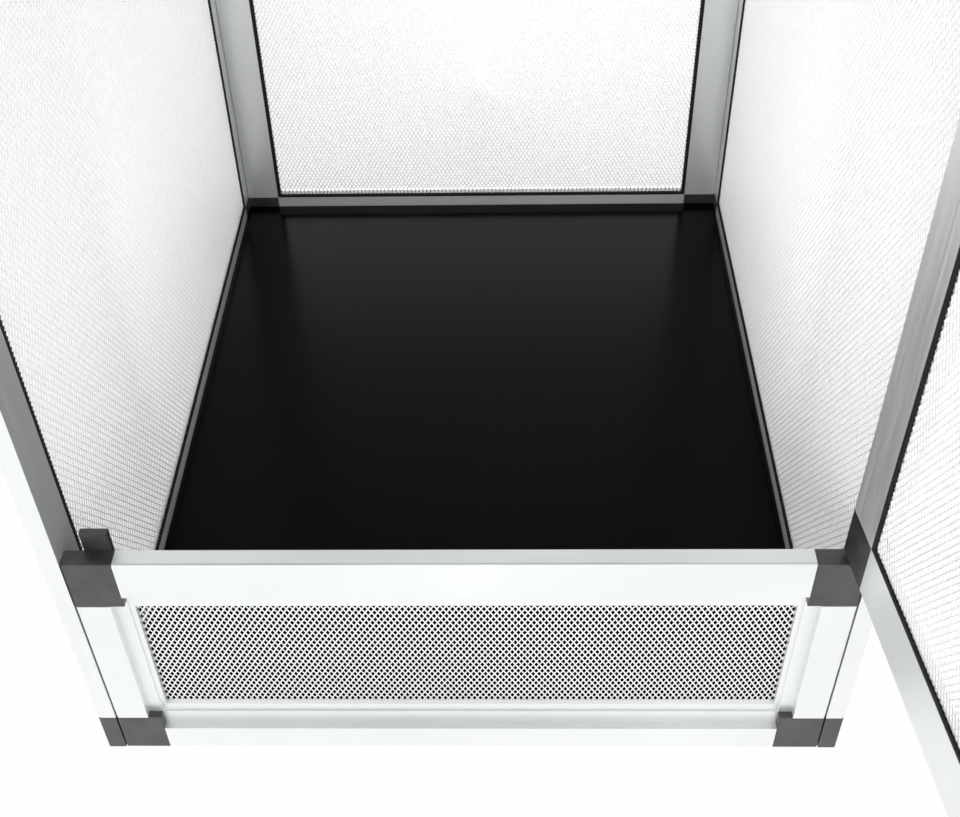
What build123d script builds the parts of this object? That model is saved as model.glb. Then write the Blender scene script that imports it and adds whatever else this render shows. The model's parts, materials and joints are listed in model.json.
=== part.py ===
from build123d import *
import os

os.makedirs("parts", exist_ok=True)

# Mesh terrarium: flat frames of hollow aluminium bar, joined at black plastic corners.
# Millimetres, +Z up, +Y towards the back. The origin is the middle of the front bottom
# edge, in the mid-plane of the front frames, where the door's hinge axis also stands.

# Closed cage, over the outer faces of its frames
WIDTH = 420.0
DEPTH = 530.0
HEIGHT = 750.0

# Hollow bar: a raised box, a thinner flange and a lip that the mesh lies on
BAR_T = 10.0
POST_W = 25.4
POST_BOX = 18.0
POST_LIP = 3.0
RAIL_H = 29.5
RAIL_BOX = 18.8
RAIL_LIP = 6.0
MID_RAIL_H = 33.0
MID_RAIL_BOX = 25.5
FLANGE_T = 5.5
WALL = 1.2
EDGE_R = 1.5
LIP_T = 2.9
LIP_SET = 1.0

# Mesh sheet, with a plain grid of openings, and the rubber spline that holds its edge
MESH_T = 0.6
GRID_PITCH = 57.0
GRID_STRIP = 16.0
SPLINE_W = 3.0

# Corner connectors
LEG_L = 24.0
LEG_FIT = 0.1
CORNER_BREAK = 0.5

# Lower front frame, and the gap between neighbouring frames
LOWER_FRONT_H = 163.0
PANEL_GAP = 0.5

# Door, shown open: it is turned from closed by this angle
DOOR_OPEN = 96.0
DOOR_FREE_GAP = 2.5
DOOR_HINGE_GAP = 3.0
DOOR_END_GAP = 2.0
HINGE_INSET = 6.8

# Hinge pins, each with a collar that keeps the door's end clear of the frame
PIN_R = 2.0
PIN_FIT = 0.05
PIN_IN_DOOR = 10.0
PIN_IN_FRAME = 7.5
PIN_END_SPACE = 0.5
COLLAR_R = 3.6
COLLAR_GAP = 0.4

# Stop lug behind the door, on the left mid connector
LUG_W = 14.0
LUG_FROM_EDGE = 9.5
LUG_T = 3.5
LUG_RISE = 12.0
LUG_ROOT = 25.0
LUG_GAP = 0.5

# Floor sheet, which lies on the base frame
FLOOR_TOP = 20.8
FLOOR_T = 3.0

# Screws: flush ones join the frames, and a pan-head one holds the turn button
SCREW_R = 1.5
SCREW_FIT = 0.05
SCREW_L = 20.0
SCREW_END_SPACE = 1.0
FLUSH_R = 2.75
FLUSH_ANGLE = 45.0
PAN_R = 3.2
PAN_T = 2.0
PAN_EDGE = 0.8
RECESS_L = 3.6
RECESS_W = 0.9
RECESS_T = 1.1
MID_SCREW_DROP = 21.0

# Turn button on the left side frame's front edge, its washer and its screw
BUTTON_Z = 450.0
BUTTON_W = 8.0
BUTTON_L = 23.0
BUTTON_T = 3.0
BUTTON_FIT = 0.1
BUTTON_EDGE = 0.6
GRIP_L = 11.0
GRIP_W = 2.4
GRIP_RISE = 2.5
WASHER_T = 1.0
WASHER_R = 3.6
BUTTON_SCREW_L = 14.0

# Places that follow from these sizes
front = -BAR_T / 2
rear_inner = front + DEPTH - BAR_T
inner_half = WIDTH / 2 - BAR_T
panel_half = inner_half - PANEL_GAP
inside_front = -front + PANEL_GAP
inside_back = rear_inner - PANEL_GAP
top_inner = HEIGHT - BAR_T
base_top = FLOOR_TOP - FLOOR_T
groove_t = FLANGE_T - LIP_SET - LIP_T
spline_t = groove_t - MESH_T
hinge_x = inner_half - HINGE_INSET
door_bottom = LOWER_FRONT_H + DOOR_END_GAP
door_top = top_inner - DOOR_END_GAP
door_reach = hinge_x + inner_half - DOOR_FREE_GAP
button_x = -WIDTH / 2 + BAR_T / 2

# Where screws pass through a side frame, as (y, z)
lower_front_screws = [(0, RAIL_H / 2), (0, LOWER_FRONT_H - MID_SCREW_DROP)]
rear_screws = [(rear_inner + BAR_T / 2, z) for z in (RAIL_H / 2, HEIGHT - RAIL_H / 2)]
top_screws = [(y, top_inner + BAR_T / 2) for y in (front + POST_W / 2, inside_back - POST_W / 2)]
base_screws = [
    (y, base_top - BAR_T / 2) for y in (inside_front + POST_W / 2, inside_back - POST_W / 2)
]
side_screws = lower_front_screws + rear_screws + top_screws + base_screws


def finish(label, piece):
    """Label a finished piece and write its file."""
    piece.label = label
    export_step(piece, f"parts/{label}.step")


def screw_cuts(spots):
    """The holes of the flush screws, which go in from both sides of the cage."""
    return [
        (
            Plane((side * WIDTH / 2, y, z), z_dir=(-side, 0, 0)),
            SCREW_R + SCREW_FIT,
            SCREW_L + SCREW_END_SPACE,
            FLUSH_R,
        )
        for side in (-1, 1)
        for y, z in spots
    ]


def drill(cuts):
    """Cut round holes, each a (plane, radius, depth, rim radius), out of the part being built."""
    for plane, radius, depth, rim_radius in cuts:
        with BuildSketch(plane) as mouth:
            Circle(radius)
        extrude(mouth.sketch, amount=depth, mode=Mode.SUBTRACT)
        if rim_radius > radius:
            with BuildSketch(plane) as rim:
                Circle(rim_radius)
            extrude(rim.sketch, amount=rim_radius - radius, taper=FLUSH_ANGLE, mode=Mode.SUBTRACT)


def bar(section, length, width, box, lip, lip_trim, cuts):
    """A hollow bar. Its section's x runs inwards from the frame's edge, and its y outwards."""
    low_corner = (Align.MIN, Align.MIN)
    with BuildPart() as piece:
        with BuildSketch(section):
            with BuildLine():
                Polyline(
                    (0, BAR_T - EDGE_R),
                    (0, 0),
                    (width, 0),
                    (width, FLANGE_T),
                    (box, FLANGE_T),
                    (box, BAR_T),
                    (EDGE_R, BAR_T),
                )
                CenterArc((EDGE_R, BAR_T - EDGE_R), EDGE_R, 90, 90)
            make_face()
            with Locations((WALL, WALL)):
                Rectangle(box - 2 * WALL, BAR_T - 2 * WALL, align=low_corner, mode=Mode.SUBTRACT)
            with Locations((box, WALL)):
                Rectangle(
                    width - WALL - box, FLANGE_T - 2 * WALL, align=low_corner, mode=Mode.SUBTRACT
                )
        extrude(amount=length)
        with BuildSketch(section.offset(lip_trim)):
            with Locations((width - WALL / 2, groove_t)):
                Rectangle(WALL / 2 + lip, LIP_T, align=low_corner)
        extrude(amount=length - 2 * lip_trim)
        drill(cuts)
    return piece.part


def connectors(frame, span, rise, upper_rail, cuts, lug):
    """Four corner blocks, each with two legs that plug into the hollow bars."""
    play = WALL + LEG_FIT
    corners = [
        (0, 0, 1, 1, RAIL_H, RAIL_BOX),
        (span, 0, -1, 1, RAIL_H, RAIL_BOX),
        (0, rise, 1, -1, *upper_rail),
        (span, rise, -1, -1, *upper_rail),
    ]
    with BuildPart() as piece:
        with BuildSketch(frame):
            for x, y, in_x, in_y, rail_h, rail_box in corners:
                with Locations((x + in_x * POST_W / 2, y + in_y * rail_h / 2)):
                    Rectangle(POST_W, rail_h)
        extrude(amount=BAR_T)
        outer_faces = faces().sort_by(Axis(frame.origin, frame.z_dir))[-4:]
        chamfer(outer_faces.edges(), CORNER_BREAK)
        with BuildSketch(frame.offset(play)):
            for x, y, in_x, in_y, rail_h, rail_box in corners:
                with Locations((x + in_x * POST_BOX / 2, y + in_y * (rail_h + LEG_L) / 2)):
                    Rectangle(POST_BOX - 2 * play, rail_h + LEG_L - 2 * play)
                with Locations((x + in_x * (POST_W + LEG_L) / 2, y + in_y * rail_box / 2)):
                    Rectangle(POST_W + LEG_L - 2 * play, rail_box - 2 * play)
        extrude(amount=BAR_T - 2 * play)
        if lug:
            add(lug)
        drill(cuts)
    return piece.part


def mesh_sheet(frame, middle, level, upright):
    """The sheet of mesh, which lies on the lips of the four bars. Its openings are a grid."""
    clear_w = level - 2 * POST_LIP
    clear_h = upright - 2 * RAIL_LIP
    across = round(clear_w / GRID_PITCH)
    up = round(clear_h / GRID_PITCH)
    cell_w = (clear_w + GRID_STRIP) / across
    cell_h = (clear_h + GRID_STRIP) / up
    with BuildPart() as piece:
        with BuildSketch(frame.offset(spline_t)):
            with Locations(middle):
                Rectangle(level, upright)
                with GridLocations(cell_w, cell_h, across, up):
                    Rectangle(cell_w - GRID_STRIP, cell_h - GRID_STRIP, mode=Mode.SUBTRACT)
        extrude(amount=MESH_T)
    return piece.part


def spline_ring(frame, middle, level, upright):
    """The rubber spline, pressed into the rebate over the mesh's edge."""
    with BuildPart() as piece:
        with BuildSketch(frame):
            with Locations(middle):
                Rectangle(level, upright)
                Rectangle(level - 2 * SPLINE_W, upright - 2 * SPLINE_W, mode=Mode.SUBTRACT)
        extrude(amount=spline_t)
    return piece.part


def flat_frame(
    name, frame, span, rise, edges, cuts=(), upper_rail=(RAIL_H, RAIL_BOX), lug=None, meshed=True
):
    """
    One flat frame. Its plane is its inner face, with the origin at the lower left corner as
    seen from outside, and z outwards. edges names its left, right, lower and upper bars, and
    upper_rail is the upper bar's height with its box's.
    """
    left, right, lower, upper = edges
    upper_h, upper_box = upper_rail
    out = frame.z_dir
    across = frame.x_dir
    up = frame.y_dir
    upright = rise - RAIL_H - upper_h
    level = span - 2 * POST_W
    # Each bar starts at a corner block and runs round the frame in the same sense
    bar_runs = [
        (left, (0, rise - upper_h), across, upright, POST_W, POST_BOX, POST_LIP, RAIL_LIP),
        (right, (span, RAIL_H), -across, upright, POST_W, POST_BOX, POST_LIP, RAIL_LIP),
        (lower, (POST_W, 0), up, level, RAIL_H, RAIL_BOX, RAIL_LIP, 0),
        (upper, (span - POST_W, rise), -up, level, upper_h, upper_box, RAIL_LIP, 0),
    ]
    for label, (x, y), inwards, length, *section_sizes in bar_runs:
        start = frame.from_local_coords(Vector(x, y, 0))
        section = Plane(start, x_dir=inwards, z_dir=inwards.cross(out))
        finish(f"{name}_{label}", bar(section, length, *section_sizes, cuts))
    finish(f"{name}_connectors", connectors(frame, span, rise, upper_rail, cuts, lug))
    if meshed:
        middle = (span / 2, RAIL_H + upright / 2)
        finish(f"{name}_mesh", mesh_sheet(frame, middle, level, upright))
        finish(f"{name}_spline", spline_ring(frame, middle, level, upright))


# Turn button's place on the left front upright
button_cut = (
    Plane((button_x, front, BUTTON_Z), z_dir=(0, 1, 0)),
    SCREW_R + SCREW_FIT,
    2 * WALL,
    0,
)

# Side frames, over the full height and depth
flat_frame(
    "left",
    Plane((-inner_half, front + DEPTH, 0), x_dir=(0, -1, 0), z_dir=(-1, 0, 0)),
    DEPTH,
    HEIGHT,
    ("rear_post", "front_post", "bottom_rail", "top_rail"),
    cuts=screw_cuts(side_screws) + [button_cut],
)
flat_frame(
    "right",
    Plane((inner_half, front, 0), x_dir=(0, 1, 0), z_dir=(1, 0, 0)),
    DEPTH,
    HEIGHT,
    ("front_post", "rear_post", "bottom_rail", "top_rail"),
    cuts=screw_cuts(side_screws),
)

# Rear frame, between the side frames
flat_frame(
    "rear",
    Plane((panel_half, rear_inner, 0), x_dir=(-1, 0, 0), z_dir=(0, 1, 0)),
    2 * panel_half,
    HEIGHT,
    ("right_post", "left_post", "bottom_rail", "top_rail"),
    cuts=screw_cuts(rear_screws),
)

# Top frame, in front of the rear frame, with the seat of the upper hinge pin
upper_pin_seat = (
    Plane((hinge_x, 0, top_inner), z_dir=(0, 0, 1)),
    PIN_R + PIN_FIT,
    PIN_IN_FRAME + PIN_END_SPACE,
    0,
)
flat_frame(
    "top",
    Plane((-panel_half, front, top_inner)),
    2 * panel_half,
    inside_back - front,
    ("left_rail", "right_rail", "front_rail", "rear_rail"),
    cuts=screw_cuts(top_screws) + [upper_pin_seat],
)

# Base frame, flat side up to carry the floor sheet
flat_frame(
    "base",
    Plane((panel_half, inside_front, base_top), x_dir=(-1, 0, 0), z_dir=(0, 0, -1)),
    2 * panel_half,
    inside_back - inside_front,
    ("right_rail", "left_rail", "front_rail", "rear_rail"),
    cuts=screw_cuts(base_screws),
    meshed=False,
)

# Floor sheet
with BuildPart() as floor_sheet:
    with BuildSketch(Plane.XY.offset(base_top)):
        with Locations((0, (inside_front + inside_back) / 2)):
            Rectangle(2 * panel_half, inside_back - inside_front)
    extrude(amount=FLOOR_T)
finish("floor_sheet", floor_sheet.part)

# Stop lug: it stands on the inside of the left mid connector, behind the closed door
lug_plane = Plane.YZ.offset(-panel_half + LUG_FROM_EDGE)
with BuildPart() as stop_lug:
    with BuildSketch(lug_plane):
        with BuildLine():
            Polyline(
                (-front, LOWER_FRONT_H - LUG_ROOT),
                (-front + LUG_GAP + LUG_T, LOWER_FRONT_H - LUG_ROOT + LUG_T),
                (-front + LUG_GAP + LUG_T, LOWER_FRONT_H + LUG_RISE),
                (-front + LUG_GAP, LOWER_FRONT_H + LUG_RISE),
                (-front + LUG_GAP, LOWER_FRONT_H),
                (-front, LOWER_FRONT_H),
                close=True,
            )
        make_face()
    extrude(amount=LUG_W)

# Lower front frame, with the seat of the lower hinge pin
lower_pin_seat = (
    Plane((hinge_x, 0, LOWER_FRONT_H), z_dir=(0, 0, -1)),
    PIN_R + PIN_FIT,
    PIN_IN_FRAME + PIN_END_SPACE,
    0,
)
flat_frame(
    "lower_front",
    Plane((-panel_half, -front, 0), x_dir=(1, 0, 0), z_dir=(0, -1, 0)),
    2 * panel_half,
    LOWER_FRONT_H,
    ("left_post", "right_post", "bottom_rail", "mid_rail"),
    cuts=screw_cuts(lower_front_screws) + [lower_pin_seat],
    upper_rail=(MID_RAIL_H, MID_RAIL_BOX),
    lug=stop_lug.part,
)

# Door, open, with the bores that its pins run in
hinge = Plane((hinge_x, 0, 0)).rotated((0, 0, DOOR_OPEN))
door_corner = hinge.from_local_coords(Vector(-door_reach, -front, door_bottom))
door_bores = [
    (
        Plane((hinge_x, 0, z), z_dir=(0, 0, inwards)),
        PIN_R + PIN_FIT,
        PIN_IN_DOOR + PIN_END_SPACE,
        0,
    )
    for z, inwards in ((door_bottom, 1), (door_top, -1))
]
flat_frame(
    "door",
    Plane(door_corner, x_dir=hinge.x_dir, z_dir=-hinge.y_dir),
    door_reach + HINGE_INSET - DOOR_HINGE_GAP,
    door_top - door_bottom,
    ("free_post", "hinge_post", "bottom_rail", "top_rail"),
    cuts=door_bores,
)

# Hinge pins, each fixed in the frame and collared in the gap at the door's end
for label, seat_z, to_door in (("lower", LOWER_FRONT_H, 1), ("upper", top_inner, -1)):
    with BuildPart() as hinge_pin:
        with BuildSketch(Plane((hinge_x, 0, seat_z - to_door * PIN_IN_FRAME), z_dir=(0, 0, to_door))):
            Circle(PIN_R)
        extrude(amount=PIN_IN_FRAME + DOOR_END_GAP + PIN_IN_DOOR)
        with BuildSketch(Plane((hinge_x, 0, seat_z), z_dir=(0, 0, to_door))):
            Circle(COLLAR_R)
        extrude(amount=DOOR_END_GAP - COLLAR_GAP)
    finish(f"{label}_hinge_pin", hinge_pin.part)


# Screws of each side frame, flush with it, one file a side
for label, side in (("left", -1), ("right", 1)):
    with BuildPart() as frame_screws:
        for y, z in side_screws:
            outer_face = Plane((side * WIDTH / 2, y, z), z_dir=(-side, 0, 0))
            with BuildSketch(outer_face):
                Circle(FLUSH_R)
            extrude(amount=FLUSH_R - SCREW_R, taper=FLUSH_ANGLE)
            with BuildSketch(outer_face):
                Circle(SCREW_R)
            extrude(amount=SCREW_L)
            with BuildSketch(outer_face):
                Rectangle(RECESS_L, RECESS_W)
                Rectangle(RECESS_W, RECESS_L)
            extrude(amount=RECESS_T, mode=Mode.SUBTRACT)
    finish(f"{label}_frame_screws", frame_screws.part)

# Washer under the turn button
button_front = Plane.XZ.offset(-front)
with BuildPart() as latch_washer:
    with BuildSketch(button_front):
        with Locations((button_x, BUTTON_Z)):
            Circle(WASHER_R)
            Circle(SCREW_R + SCREW_FIT, mode=Mode.SUBTRACT)
    extrude(amount=WASHER_T)
finish("latch_washer", latch_washer.part)

# Turn button, hanging down clear of the door
button_back = button_front.offset(WASHER_T + BUTTON_FIT)
with BuildPart() as latch_button:
    with BuildSketch(button_back):
        with Locations((button_x, BUTTON_Z - BUTTON_L / 2)):
            SlotCenterToCenter(BUTTON_L, BUTTON_W, rotation=90)
    extrude(amount=BUTTON_T)
    fillet(faces().sort_by(Axis.Y)[0].edges(), BUTTON_EDGE)
    with BuildSketch(button_back):
        with Locations((button_x, BUTTON_Z - BUTTON_L + GRIP_L / 2 - BUTTON_W / 4)):
            SlotOverall(GRIP_L, GRIP_W, rotation=90)
    extrude(amount=BUTTON_T + GRIP_RISE)
    with BuildSketch(button_back):
        with Locations((button_x, BUTTON_Z)):
            Circle(SCREW_R + SCREW_FIT)
    extrude(amount=BUTTON_T, mode=Mode.SUBTRACT)
finish("latch_button", latch_button.part)

# Its pan-head screw
screw_seat = button_back.offset(BUTTON_T + BUTTON_FIT)
with BuildPart() as latch_screw:
    with BuildSketch(screw_seat):
        with Locations((button_x, BUTTON_Z)):
            Circle(PAN_R)
    extrude(amount=PAN_T)
    fillet(faces().sort_by(Axis.Y)[0].edges(), PAN_EDGE)
    with BuildSketch(screw_seat):
        with Locations((button_x, BUTTON_Z)):
            Circle(SCREW_R)
    extrude(amount=-BUTTON_SCREW_L)
    with BuildSketch(screw_seat.offset(PAN_T)):
        with Locations((button_x, BUTTON_Z)):
            Rectangle(RECESS_L, RECESS_W)
            Rectangle(RECESS_W, RECESS_L)
    extrude(amount=-RECESS_T, mode=Mode.SUBTRACT)
finish("latch_screw", latch_screw.part)
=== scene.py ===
import json
import math

import bmesh
import bpy
from mathutils import Matrix, Vector


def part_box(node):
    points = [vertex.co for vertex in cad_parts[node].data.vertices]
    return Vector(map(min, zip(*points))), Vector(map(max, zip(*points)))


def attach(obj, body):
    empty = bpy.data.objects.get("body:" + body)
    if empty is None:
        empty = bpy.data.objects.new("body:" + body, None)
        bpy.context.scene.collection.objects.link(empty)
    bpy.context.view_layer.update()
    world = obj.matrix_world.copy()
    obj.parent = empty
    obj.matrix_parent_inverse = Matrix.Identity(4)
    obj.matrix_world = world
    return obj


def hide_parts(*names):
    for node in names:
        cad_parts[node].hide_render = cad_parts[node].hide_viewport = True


# Mesh terrarium: aluminium screen frames joined at black plastic corners, with the door
# open. Metres, in the CAD frame. Names that end in MM are real millimetres, in DEG degrees.
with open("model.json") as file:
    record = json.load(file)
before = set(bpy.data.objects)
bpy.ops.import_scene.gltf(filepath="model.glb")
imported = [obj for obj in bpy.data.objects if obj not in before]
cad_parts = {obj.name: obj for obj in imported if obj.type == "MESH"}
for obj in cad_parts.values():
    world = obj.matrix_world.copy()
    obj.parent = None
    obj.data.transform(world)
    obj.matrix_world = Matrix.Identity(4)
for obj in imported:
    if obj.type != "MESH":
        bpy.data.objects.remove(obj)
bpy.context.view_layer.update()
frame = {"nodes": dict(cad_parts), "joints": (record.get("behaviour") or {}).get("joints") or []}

MM = 0.001

# The screened panels, each with the body that it rides with
PANELS = {"left": "cage", "right": "cage", "rear": "cage", "top": "cage",
          "lower_front": "cage", "door": "door"}
SIDE_WALLS = ("left", "right")

# How far the door stands open at rest, which is its turn back to shut
DOOR_OPEN_DEG = -next(j["range_deg"][0] for j in frame["joints"] if j["name"] == "door_hinge")

# The corners of a rectangle, in the order that its edge runs
CORNERS = ((-1, -1), (1, -1), (1, 1), (-1, 1))


# Helpers for nodes and materials

def colour(code):
    """An sRGB hex colour as Blender's linear one."""
    parts = [int(code[i:i + 2], 16) / 255 for i in (1, 3, 5)]
    return (*(c / 12.92 if c <= 0.04045 else ((c + 0.055) / 1.055) ** 2.4 for c in parts), 1)


def add(tree, kind, inputs=(), **settings):
    """Add a node. Its inputs are named or numbered: a value or another node's output each."""
    made = tree.nodes.new(kind)
    for name, value in settings.items():
        setattr(made, name, value)
    for key, value in dict(inputs).items():
        if isinstance(value, bpy.types.NodeSocket):
            tree.links.new(value, made.inputs[key])
        else:
            made.inputs[key].default_value = value
    return made


def surface(name, base, roughness, metallic=0.0, **constants):
    """A material with one Principled shader, with its tree, shader and Object coordinates."""
    material = bpy.data.materials.new(name)
    material.use_nodes = True
    material.diffuse_color = colour(base)
    tree = material.node_tree
    shader = tree.nodes["Principled BSDF"]
    shader.inputs["Base Color"].default_value = colour(base)
    shader.inputs["Roughness"].default_value = roughness
    shader.inputs["Metallic"].default_value = metallic
    for socket, value in constants.items():
        shader.inputs[socket.replace("_", " ")].default_value = value
    place = add(tree, "ShaderNodeTexCoord").outputs["Object"]
    return material, tree, shader, place


def between(tree, factor, low, high):
    """Two colours mixed by a factor."""
    ends = {0: factor, 6: colour(low), 7: colour(high)}
    return add(tree, "ShaderNodeMix", ends, data_type="RGBA").outputs[2]


def spread(tree, value, low, high, start=0.35, end=0.65):
    """A pattern's middle range spread over low to high."""
    ends = {0: value, 1: start, 2: end, 3: low, 4: high}
    return add(tree, "ShaderNodeMapRange", ends).outputs[0]


# Materials

def satin_aluminium(name, turn):
    """
    Extruded and satin anodised aluminium: a pale, milky silver that is drawn out along the
    bar by the die lines. The oxide scatters light, so it is mostly metal and partly matt. The
    real lines are about 0.1 mm apart, and they are drawn wider to show. turn brings the
    bar's own direction to the pattern's first axis.
    """
    die_line_mm = 0.9
    line_depth_mm = 0.03
    squeeze_along_bar = 0.012
    cloud_mm = 71.4
    material, tree, shader, place = surface(name, "#ECEEEE", 0.34, 0.75)
    turned = add(tree, "ShaderNodeMapping", {"Vector": place, "Rotation": turn}).outputs[0]
    drawn = add(tree, "ShaderNodeVectorMath", {
        0: turned, 1: (squeeze_along_bar, 1, 1),
    }, operation="MULTIPLY").outputs[0]
    lines = add(tree, "ShaderNodeTexNoise", {
        "Vector": drawn, "Scale": 1 / (die_line_mm * MM), "Detail": 2.0,
    }).outputs[0]
    cloud = add(tree, "ShaderNodeTexNoise", {
        "Vector": place, "Scale": 1 / (cloud_mm * MM), "Detail": 2.0,
    }).outputs[0]
    tree.links.new(between(tree, cloud, "#E8EAEA", "#F0F2F2"), shader.inputs["Base Color"])
    tree.links.new(spread(tree, lines, 0.28, 0.41), shader.inputs["Roughness"])
    bump = add(tree, "ShaderNodeBump", {
        "Strength": 0.25, "Distance": line_depth_mm * MM, "Height": lines,
    }).outputs[0]
    tree.links.new(bump, shader.inputs["Normal"])
    return material


def bright_mesh():
    """Expanded aluminium, etched to a near white: duller where the knuckles were sheared."""
    knuckle_mm = 3.0
    material, tree, shader, place = surface("expanded_aluminium", "#EAEAEA", 0.40, 0.3)
    dull = add(tree, "ShaderNodeTexNoise", {
        "Vector": place, "Scale": 1 / (knuckle_mm * MM),
    }).outputs[0]
    tree.links.new(between(tree, dull, "#E2E2E2", "#F4F4F4"), shader.inputs["Base Color"])
    tree.links.new(spread(tree, dull, 0.32, 0.46), shader.inputs["Roughness"])
    return material


def moulded_plastic(name, base, worn):
    """Moulded nylon: near black with a soft sheen, a spark-eroded grain and rubbed patches."""
    grain_mm = 0.7
    grain_depth_mm = 0.05
    patch_mm = 11.11
    material, tree, shader, place = surface(name, base, 0.36, Specular_IOR_Level=0.85)
    grain = add(tree, "ShaderNodeTexNoise", {
        "Vector": place, "Scale": 1 / (grain_mm * MM), "Detail": 3.0,
    }).outputs[0]
    patches = add(tree, "ShaderNodeTexNoise", {
        "Vector": place, "Scale": 1 / (patch_mm * MM), "Detail": 4.0,
    }).outputs[0]
    rubbed = between(tree, spread(tree, patches, 0, 1), base, worn)
    tree.links.new(rubbed, shader.inputs["Base Color"])
    tree.links.new(spread(tree, grain, 0.30, 0.42), shader.inputs["Roughness"])
    bump = add(tree, "ShaderNodeBump", {
        "Strength": 0.35, "Distance": grain_depth_mm * MM, "Height": grain,
    }).outputs[0]
    tree.links.new(bump, shader.inputs["Normal"])
    return material


def spline_rubber():
    """Extruded rubber cord: black and matt, with a trace of dust."""
    dust_mm = 6.25
    material, tree, shader, place = surface(
        "extruded_rubber", "#0E0E0E", 0.6, Specular_IOR_Level=0.3)
    dust = add(tree, "ShaderNodeTexNoise", {
        "Vector": place, "Scale": 1 / (dust_mm * MM), "Detail": 3.0,
    }).outputs[0]
    tree.links.new(between(tree, dust, "#090909", "#181818"), shader.inputs["Base Color"])
    tree.links.new(spread(tree, dust, 0.52, 0.72), shader.inputs["Roughness"])
    return material


def gloss_sheet():
    """Pressed PVC sheet: black, with a gloss softened by faint waves and fine scuffs."""
    scuff_mm = 1.2
    wave_mm = 70.0
    wave_depth_mm = 0.4
    material, tree, shader, place = surface(
        "gloss_black_pvc", "#020202", 0.20, Specular_IOR_Level=0.058)
    waves = add(tree, "ShaderNodeTexNoise", {
        "Vector": place, "Scale": 1 / (wave_mm * MM),
    }).outputs[0]
    scuffs = add(tree, "ShaderNodeTexNoise", {
        "Vector": place, "Scale": 1 / (scuff_mm * MM), "Detail": 5.0,
    }).outputs[0]
    tree.links.new(between(tree, scuffs, "#010101", "#030303"), shader.inputs["Base Color"])
    tree.links.new(spread(tree, scuffs, 0.17, 0.24), shader.inputs["Roughness"])
    bump = add(tree, "ShaderNodeBump", {
        "Strength": 0.15, "Distance": wave_depth_mm * MM, "Height": waves,
    }).outputs[0]
    tree.links.new(bump, shader.inputs["Normal"])
    return material


def zinc_steel():
    """Zinc plated steel: bluish silver, cloudy, with a fine crystalline break-up."""
    crystal_mm = 0.5
    material, tree, shader, place = surface("zinc_plated_steel", "#B9BDC2", 0.34, 1.0)
    crystals = add(tree, "ShaderNodeTexVoronoi", {
        "Vector": place, "Scale": 1 / (crystal_mm * MM),
    }).outputs
    silver = between(tree, crystals["Color"], "#A9ADB4", "#C8CBCE")
    tree.links.new(silver, shader.inputs["Base Color"])
    tree.links.new(spread(tree, crystals["Distance"], 0.28, 0.42), shader.inputs["Roughness"])
    return material


# The bars have one material for each direction that they run in
quarter = math.pi / 2
bar_x = satin_aluminium("satin_aluminium_across", (0, 0, 0))
bar_y = satin_aluminium("satin_aluminium_deep", (0, 0, -quarter))
bar_z = satin_aluminium("satin_aluminium_upright", (0, quarter, 0))
bar_door = satin_aluminium("satin_aluminium_door", (0, 0, -math.radians(DOOR_OPEN_DEG)))
nylon = moulded_plastic("moulded_nylon", "#202122", "#303031")
button_nylon = moulded_plastic("moulded_nylon_button", "#18191C", "#26272B")
rubber = spline_rubber()
pvc = gloss_sheet()
zinc = zinc_steel()
aluminium_mesh = bright_mesh()


def bar_material(name):
    """The aluminium whose die lines run along this bar."""
    if name.startswith("door") and name.endswith("rail"):
        return bar_door
    low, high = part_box(name)
    return max(zip(high - low, (bar_x, bar_y, bar_z)), key=lambda pair: pair[0])[1]


def finish_of(name):
    """The material of a CAD node."""
    if name.endswith(("_post", "_rail")):
        return bar_material(name)
    ends = {"connectors": nylon, "_spline": rubber, "_mesh": aluminium_mesh,
            "floor_sheet": pvc, "latch_button": button_nylon}
    return next((material for end, material in ends.items() if name.endswith(end)), zinc)


for name, node in frame["nodes"].items():
    node.data.materials.clear()
    node.data.materials.append(finish_of(name))


# Pieces that stand for the CAD model's mesh sheets and spline cords

def seat(panel):
    """
    Where a panel's mesh sheet lies: the matrix from its own plane to the frame, with its
    third axis inwards, and its width, height and thickness.
    """
    turn = Matrix.Rotation(
        math.radians(DOOR_OPEN_DEG if PANELS[panel] == "door" else 0), 3, "Z")
    corners = [turn.transposed() @ v.co for v in frame["nodes"][f"{panel}_mesh"].data.vertices]
    low, high = (
        Vector(end(corner[axis] for corner in corners) for axis in range(3))
        for end in (min, max))
    size = high - low
    centre = turn @ ((low + high) / 2)
    thin = min(range(3), key=lambda axis: size[axis])
    tall = 1 if thin == 2 else 2
    wide = 3 - thin - tall
    low_cord, high_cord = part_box(f"{panel}_spline")
    inwards = turn.col[thin].copy()
    if inwards.dot((low_cord + high_cord) / 2 - centre) < 0:
        inwards.negate()
    up = turn.col[tall]
    axes = Matrix((up.cross(inwards), up, inwards)).transposed()
    return Matrix.Translation(centre) @ axes.to_4x4(), size[wide], size[tall], size[thin]


def put(mesh, name, panel, node):
    """Make an object of a finished mesh that stands for a CAD node and rides with its body."""
    piece = bpy.data.objects.new(name, mesh)
    bpy.context.scene.collection.objects.link(piece)
    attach(piece, PANELS[panel])
    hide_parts(node)


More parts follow.
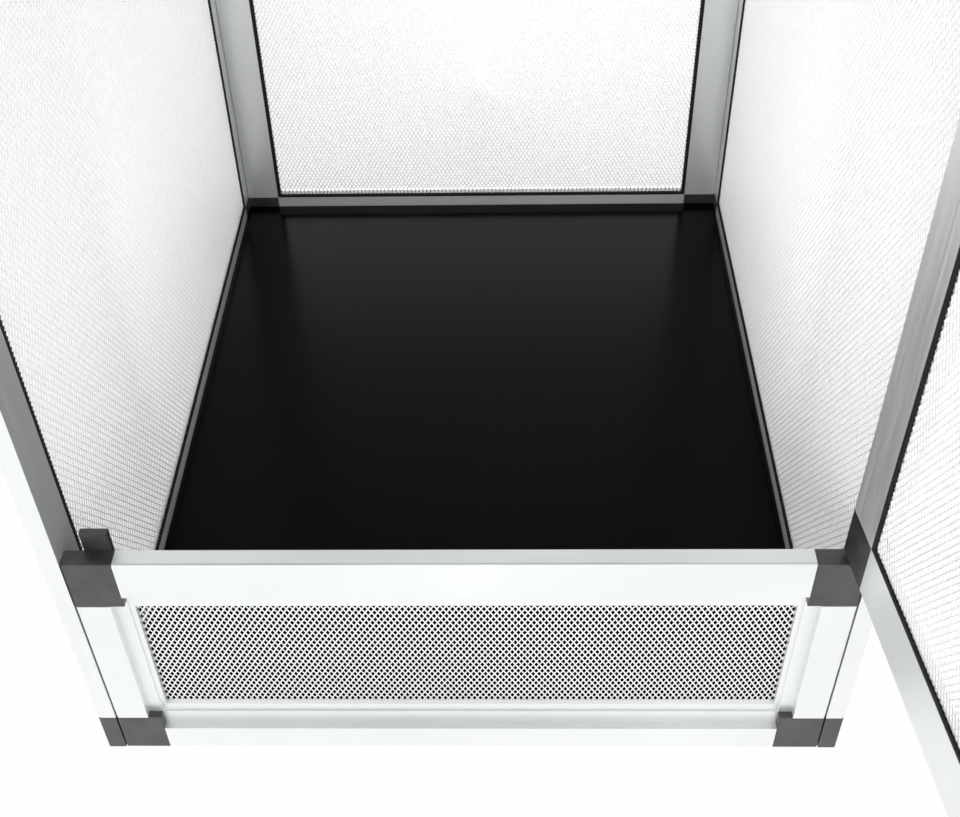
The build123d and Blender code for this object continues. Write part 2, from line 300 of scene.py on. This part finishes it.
def expanded_mesh_tree():
    """
    Geometry Nodes for a rectangle of expanded mesh: flat strands in two crossing families.
    Each family is a row of points, one for each strand, at the middle of the stretch that
    the strand has inside the rectangle.
    """
    tree = bpy.data.node_groups.new("expanded_mesh", "GeometryNodeTree")
    face = tree.interface
    for name in ("Width", "Height", "Pitch", "Row",
                 "Strand Width", "Strand Thickness", "Tilt", "Layer"):
        face.new_socket(name, in_out="INPUT", socket_type="NodeSocketFloat")
    face.new_socket("Material", in_out="INPUT", socket_type="NodeSocketMaterial")
    face.new_socket("Geometry", in_out="OUTPUT", socket_type="NodeSocketGeometry")
    given = tree.nodes.new("NodeGroupInput").outputs
    width, height = given["Width"], given["Height"]

    def calc(operation, *terms):
        """One step of arithmetic."""
        inputs = dict(enumerate(terms))
        return add(tree, "ShaderNodeMath", inputs, operation=operation).outputs[0]

    # One family's strands: their angle, spacing and number, and each one's distance from the
    # strand through the middle
    angle = calc("ARCTAN2", given["Row"], calc("MULTIPLY", given["Pitch"], 0.5))
    sine = calc("SINE", angle)
    cosine = calc("COSINE", angle)
    spacing = calc("MULTIPLY", given["Pitch"], sine)
    reach = calc("ADD", calc("MULTIPLY", width, sine), calc("MULTIPLY", height, cosine))
    one_side = calc("CEIL", calc("DIVIDE", calc("MULTIPLY", reach, 0.5), spacing))
    count = calc("MULTIPLY_ADD", one_side, 2.0, 1.0)
    index = tree.nodes.new("GeometryNodeInputIndex").outputs[0]
    offset = calc("MULTIPLY", calc("SUBTRACT", index, one_side), spacing)

    # Where a strand enters and leaves the rectangle, measured along the strand
    x_middle = calc("DIVIDE", calc("MULTIPLY", offset, sine), cosine)
    x_half = calc("DIVIDE", calc("MULTIPLY", width, 0.5), cosine)
    y_middle = calc("DIVIDE", calc("MULTIPLY", offset, cosine), calc("MULTIPLY", sine, -1.0))
    y_half = calc("DIVIDE", calc("MULTIPLY", height, 0.5), sine)
    start = calc(
        "MAXIMUM", calc("SUBTRACT", x_middle, x_half), calc("SUBTRACT", y_middle, y_half))
    end = calc("MINIMUM", calc("ADD", x_middle, x_half), calc("ADD", y_middle, y_half))
    length = calc("SUBTRACT", end, start)
    middle = calc("MULTIPLY", calc("ADD", start, end), 0.5)
    x = calc("SUBTRACT", calc("MULTIPLY", middle, cosine), calc("MULTIPLY", offset, sine))
    y = calc("ADD", calc("MULTIPLY", middle, sine), calc("MULTIPLY", offset, cosine))

    # The strands, and the crossing family as the same one turned over
    spot = add(tree, "ShaderNodeCombineXYZ", {
        "X": x, "Y": y, "Z": calc("MULTIPLY", given["Layer"], 0.5),
    })
    points = add(tree, "GeometryNodePoints", {"Count": count, "Position": spot.outputs[0]})
    section = add(tree, "ShaderNodeCombineXYZ", {
        "X": 1.0, "Y": given["Strand Width"], "Z": given["Strand Thickness"],
    })
    strip = add(tree, "GeometryNodeMeshCube", {"Size": section.outputs[0]})
    tilt = add(tree, "ShaderNodeCombineXYZ", {"X": given["Tilt"]})
    strand = add(tree, "GeometryNodeTransform", {
        "Geometry": strip.outputs["Mesh"], "Rotation": tilt.outputs[0],
    })
    inside = add(tree, "FunctionNodeCompare", {0: length, 1: given["Strand Width"]})
    lean = add(tree, "ShaderNodeCombineXYZ", {"Z": angle})
    stretch = add(tree, "ShaderNodeCombineXYZ", {"X": length, "Y": 1.0, "Z": 1.0})
    family = add(tree, "GeometryNodeInstanceOnPoints", {
        "Points": points.outputs[0],
        "Selection": inside.outputs[0],
        "Instance": strand.outputs[0],
        "Rotation": lean.outputs[0],
        "Scale": stretch.outputs[0],
    })
    crossing = add(tree, "GeometryNodeTransform", {
        "Geometry": family.outputs[0], "Rotation": (math.pi, 0, 0),
    })
    both = tree.nodes.new("GeometryNodeJoinGeometry")
    tree.links.new(family.outputs[0], both.inputs[0])
    tree.links.new(crossing.outputs[0], both.inputs[0])
    real = add(tree, "GeometryNodeRealizeInstances", {"Geometry": both.outputs[0]})
    dressed = add(tree, "GeometryNodeSetMaterial", {
        "Geometry": real.outputs[0], "Material": given["Material"],
    })
    tree.links.new(dressed.outputs[0], tree.nodes.new("NodeGroupOutput").inputs[0])
    return tree


def grown(tree, values):
    """The plain mesh that a Geometry Nodes tree makes with these inputs."""
    holder = bpy.data.objects.new("holder", bpy.data.meshes.new("holder"))
    bpy.context.scene.collection.objects.link(holder)
    modifier = holder.modifiers.new("nodes", "NODES")
    modifier.node_group = tree
    for item in tree.interface.items_tree:
        if item.in_out == "INPUT":
            modifier[item.identifier] = values[item.name]
    graph = bpy.context.evaluated_depsgraph_get()
    mesh = bpy.data.meshes.new_from_object(holder.evaluated_get(graph))
    holder.modifiers.remove(modifier)
    bpy.data.objects.remove(holder)
    return mesh


# Expanded mesh: one diamond is a pitch wide, and the next row starts a row higher. The side
# walls of the photograph show a coarser sheet than its front and back. The strands lie tilted,
# and the two families a layer apart.
MESH_PITCH_MM = 3.28
MESH_ROW_MM = 2.87
SIDE_PITCH_MM = 4.40
SIDE_ROW_MM = 3.08
STRAND_W_MM = 0.91
STRAND_T_MM = 0.25
STRAND_TILT_DEG = -24.0
STRAND_LAYER_MM = 0.12

mesh_tree = expanded_mesh_tree()
for panel in PANELS:
    place, width, height, _ = seat(panel)
    at_side = panel in SIDE_WALLS
    strands = grown(mesh_tree, {
        "Width": width,
        "Height": height,
        "Pitch": (SIDE_PITCH_MM if at_side else MESH_PITCH_MM) * MM,
        "Row": (SIDE_ROW_MM if at_side else MESH_ROW_MM) * MM,
        "Strand Width": STRAND_W_MM * MM,
        "Strand Thickness": STRAND_T_MM * MM,
        "Tilt": math.radians(STRAND_TILT_DEG),
        "Layer": STRAND_LAYER_MM * MM,
        "Material": aluminium_mesh,
    })
    strands.transform(place)
    put(strands, f"{panel}_expanded_mesh", panel, f"{panel}_mesh")

# Spline cord, over the mesh's edge in the rebate: pressed flat, with its round side inwards,
# and its inner edge squeezed into the diamonds of the mesh as a row of teeth. A tooth's size
# is from its root to its tip. The cord's sides stand up to its shoulder, a share of its
# thickness, and the round top starts there.
CORD_W_MM = 3.0
CORD_T_MM = 1.3
CORD_SHOULDER = 0.55
CORD_STEPS = 8
TOOTH_PITCH_MM = 3.08
TOOTH_MM = 0.8
SIDE_TOOTH_MM = 2.4


def cord_section():
    """The cord's profile as (distance in from the mesh's edge, height) points, in mm."""
    section = [(0.0, 0.0)]
    for step in range(CORD_STEPS + 1):
        turn = math.pi * step / CORD_STEPS
        inset = CORD_W_MM / 2 * (1 - math.cos(turn))
        rise = CORD_T_MM * (CORD_SHOULDER + (1 - CORD_SHOULDER) * math.sin(turn))
        section.append((inset, rise))
    return [*section, (CORD_W_MM, 0.0)]


def cord_ring(width, height, base, tooth):
    """A closed ring of toothed spline cord with mitred corners, standing up from base."""
    ring = bmesh.new()
    section = cord_section()
    loops = []
    for side, (x, y) in enumerate(CORNERS):
        to_x, to_y = CORNERS[(side + 1) % len(CORNERS)]
        steps = 2 * round((width if to_x != x else height) / (TOOTH_PITCH_MM * MM))
        for step in range(steps):
            along = step / steps
            reach = 1 + tooth / CORD_W_MM * (0.5 - step % 2)
            loops.append([
                ring.verts.new((
                    (x + (to_x - x) * along) * (width / 2 - inset * reach * MM),
                    (y + (to_y - y) * along) * (height / 2 - inset * reach * MM),
                    base + rise * MM,
                ))
                for inset, rise in section
            ])
    for number, loop in enumerate(loops):
        following = loops[(number + 1) % len(loops)]
        for i in range(len(section)):
            j = (i + 1) % len(section)
            ring.faces.new((loop[i], following[i], following[j], loop[j]))
    bmesh.ops.recalc_face_normals(ring, faces=ring.faces)
    mesh = bpy.data.meshes.new("spline_cord")
    ring.to_mesh(mesh)
    ring.free()
    mesh.materials.append(rubber)
    mesh.shade_smooth()
    return mesh


for panel in PANELS:
    place, width, height, thickness = seat(panel)
    tooth = SIDE_TOOTH_MM if panel in SIDE_WALLS else TOOTH_MM
    cord = cord_ring(width, height, thickness / 2, tooth)
    cord.transform(place)
    put(cord, f"{panel}_spline_cord", panel, f"{panel}_spline")


# Camera, solved from the straight edges of the photograph: turned left from +Y, looking
# down, and rolled
CAMERA_AT = (0.0230, -0.4129, 0.6529)
CAMERA_TURN_DEG = 1.73
CAMERA_DOWN_DEG = 43.26
CAMERA_ROLL_DEG = -1.43
CAMERA_LENS_MM = 48.26

camera = bpy.data.objects.new("camera", bpy.data.cameras.new("camera"))
bpy.context.scene.collection.objects.link(camera)
camera.data.lens = CAMERA_LENS_MM
camera.matrix_world = (
    Matrix.Translation(CAMERA_AT)
    @ Matrix.Rotation(math.radians(CAMERA_TURN_DEG), 4, "Z")
    @ Matrix.Rotation(math.radians(90 - CAMERA_DOWN_DEG), 4, "X")
    @ Matrix.Rotation(math.radians(CAMERA_ROLL_DEG), 4, "Z")
)
bpy.context.scene.camera = camera


def seen_directly(tree):
    """1 on a ray from the camera or off a gloss, and 0 on one that only brings light."""
    path = add(tree, "ShaderNodeLightPath").outputs
    return add(tree, "ShaderNodeMath", {
        0: path["Is Camera Ray"], 1: path["Is Glossy Ray"],
    }, operation="MAXIMUM").outputs[0]


# World: a white room that is darker overhead. It shows itself to the camera and to gloss as
# white for two thirds of the way up, and the light that it gives comes from a lower and
# brighter band. Each fades between two heights (0 level, 1 overhead), from a strength below
# to one above.
SHOWN_FADE = (0.66, 0.92)
SHOWN_STRENGTH = (1.0, 0.02)
GIVEN_FADE = (0.35, 0.60)
GIVEN_STRENGTH = (1.3, 0.10)

world = bpy.data.worlds.new("room")
bpy.context.scene.world = world
world.use_nodes = True
sky = world.node_tree
direction = add(sky, "ShaderNodeTexCoord").outputs["Generated"]
height = add(sky, "ShaderNodeSeparateXYZ", {0: direction}).outputs["Z"]
shown, given = (
    add(sky, "ShaderNodeMapRange", dict(enumerate((height, *fade, *strengths)))).outputs[0]
    for fade, strengths in ((SHOWN_FADE, SHOWN_STRENGTH), (GIVEN_FADE, GIVEN_STRENGTH)))
strength = add(sky, "ShaderNodeMix", {0: seen_directly(sky), 2: given, 3: shown}).outputs[0]
sky.links.new(strength, sky.nodes["Background"].inputs["Strength"])
sky.nodes["Background"].inputs["Color"].default_value = colour("#FDFEFF")


def soft_lamp(name, at, towards, size, watts, in_gloss=False):
    """A large rectangular lamp that faces a point and isn't seen by the camera."""
    lamp = bpy.data.objects.new(name, bpy.data.lights.new(name, "AREA"))
    bpy.context.scene.collection.objects.link(lamp)
    lamp.data.shape = "RECTANGLE"
    lamp.data.size, lamp.data.size_y = size
    lamp.data.energy = watts
    lamp.location = at
    lamp.rotation_euler = (Vector(towards) - Vector(at)).to_track_quat("-Z", "Y").to_euler()
    lamp.visible_camera = False
    lamp.visible_glossy = in_gloss


# A front window, weaker ones round the corners, one behind that shows in the gloss of the floor
# sheet, and weak lamps inside for the rear and side walls
middle = (0, 0.2, 0.35)
soft_lamp("window_front", at=(-0.3, -2.5, 1.4), towards=middle, size=(1.6, 1.1), watts=44)
soft_lamp("window_left", at=(-1.7, -1.9, 0.7), towards=middle, size=(1.2, 1.1), watts=18)
soft_lamp("window_right", at=(1.7, -1.9, 0.7), towards=middle, size=(1.2, 1.1), watts=11)
soft_lamp("window_rear", at=(0, 2.4, 1.1), towards=middle, size=(2.2, 0.9), watts=19,
          in_gloss=True)
soft_lamp("inside_rear", at=(0, 0.16, 0.17), towards=(0, 1.16, 0.12), size=(0.30, 0.22),
          watts=0.2)
for side, watts in ((-1, 0.5), (1, 0.6)):
    soft_lamp(f"inside_{side}", at=(0, 0.22, 0.34), towards=(side, 0.22, 0.34),
              size=(0.62, 0.42), watts=watts)

# Floor that the terrarium stands on: matt white paper that keeps its soft shadow. It lies a
# little below the frames, and the camera and gloss see it mixed with plain white.
FLOOR_HALF = 12.0
FLOOR_DROP_MM = 0.2
FLOOR_GLOW = 0.97
FIBRE_MM = 1.11

floor_mesh = bpy.data.meshes.new("studio_floor")
floor_mesh.from_pydata(
    [(x * FLOOR_HALF, y * FLOOR_HALF, -FLOOR_DROP_MM * MM) for x, y in CORNERS],
    [], [(0, 1, 2, 3)])
studio_floor = bpy.data.objects.new("studio_floor", floor_mesh)
bpy.context.scene.collection.objects.link(studio_floor)
white, tree, shader, place = surface("matt_white_paper", "#F2F2F1", 0.9)
tree.nodes.remove(shader)
fibres = add(tree, "ShaderNodeTexNoise", {
    "Vector": place, "Scale": 1 / (FIBRE_MM * MM),
}).outputs[0]
paper = add(tree, "ShaderNodeBsdfDiffuse", {
    "Color": between(tree, fibres, "#F0F0EF", "#F5F5F4"),
}).outputs[0]
glow = add(tree, "ShaderNodeEmission", {"Color": (1, 1, 1, 1), "Strength": 1.0}).outputs[0]
share = add(tree, "ShaderNodeMath", {
    0: seen_directly(tree), 1: FLOOR_GLOW,
}, operation="MULTIPLY").outputs[0]
mixed = add(tree, "ShaderNodeMixShader", {0: share, 1: paper, 2: glow}).outputs[0]
tree.links.new(mixed, tree.nodes["Material Output"].inputs["Surface"])
floor_mesh.materials.append(white)

bpy.context.scene.view_settings.view_transform = "Standard"
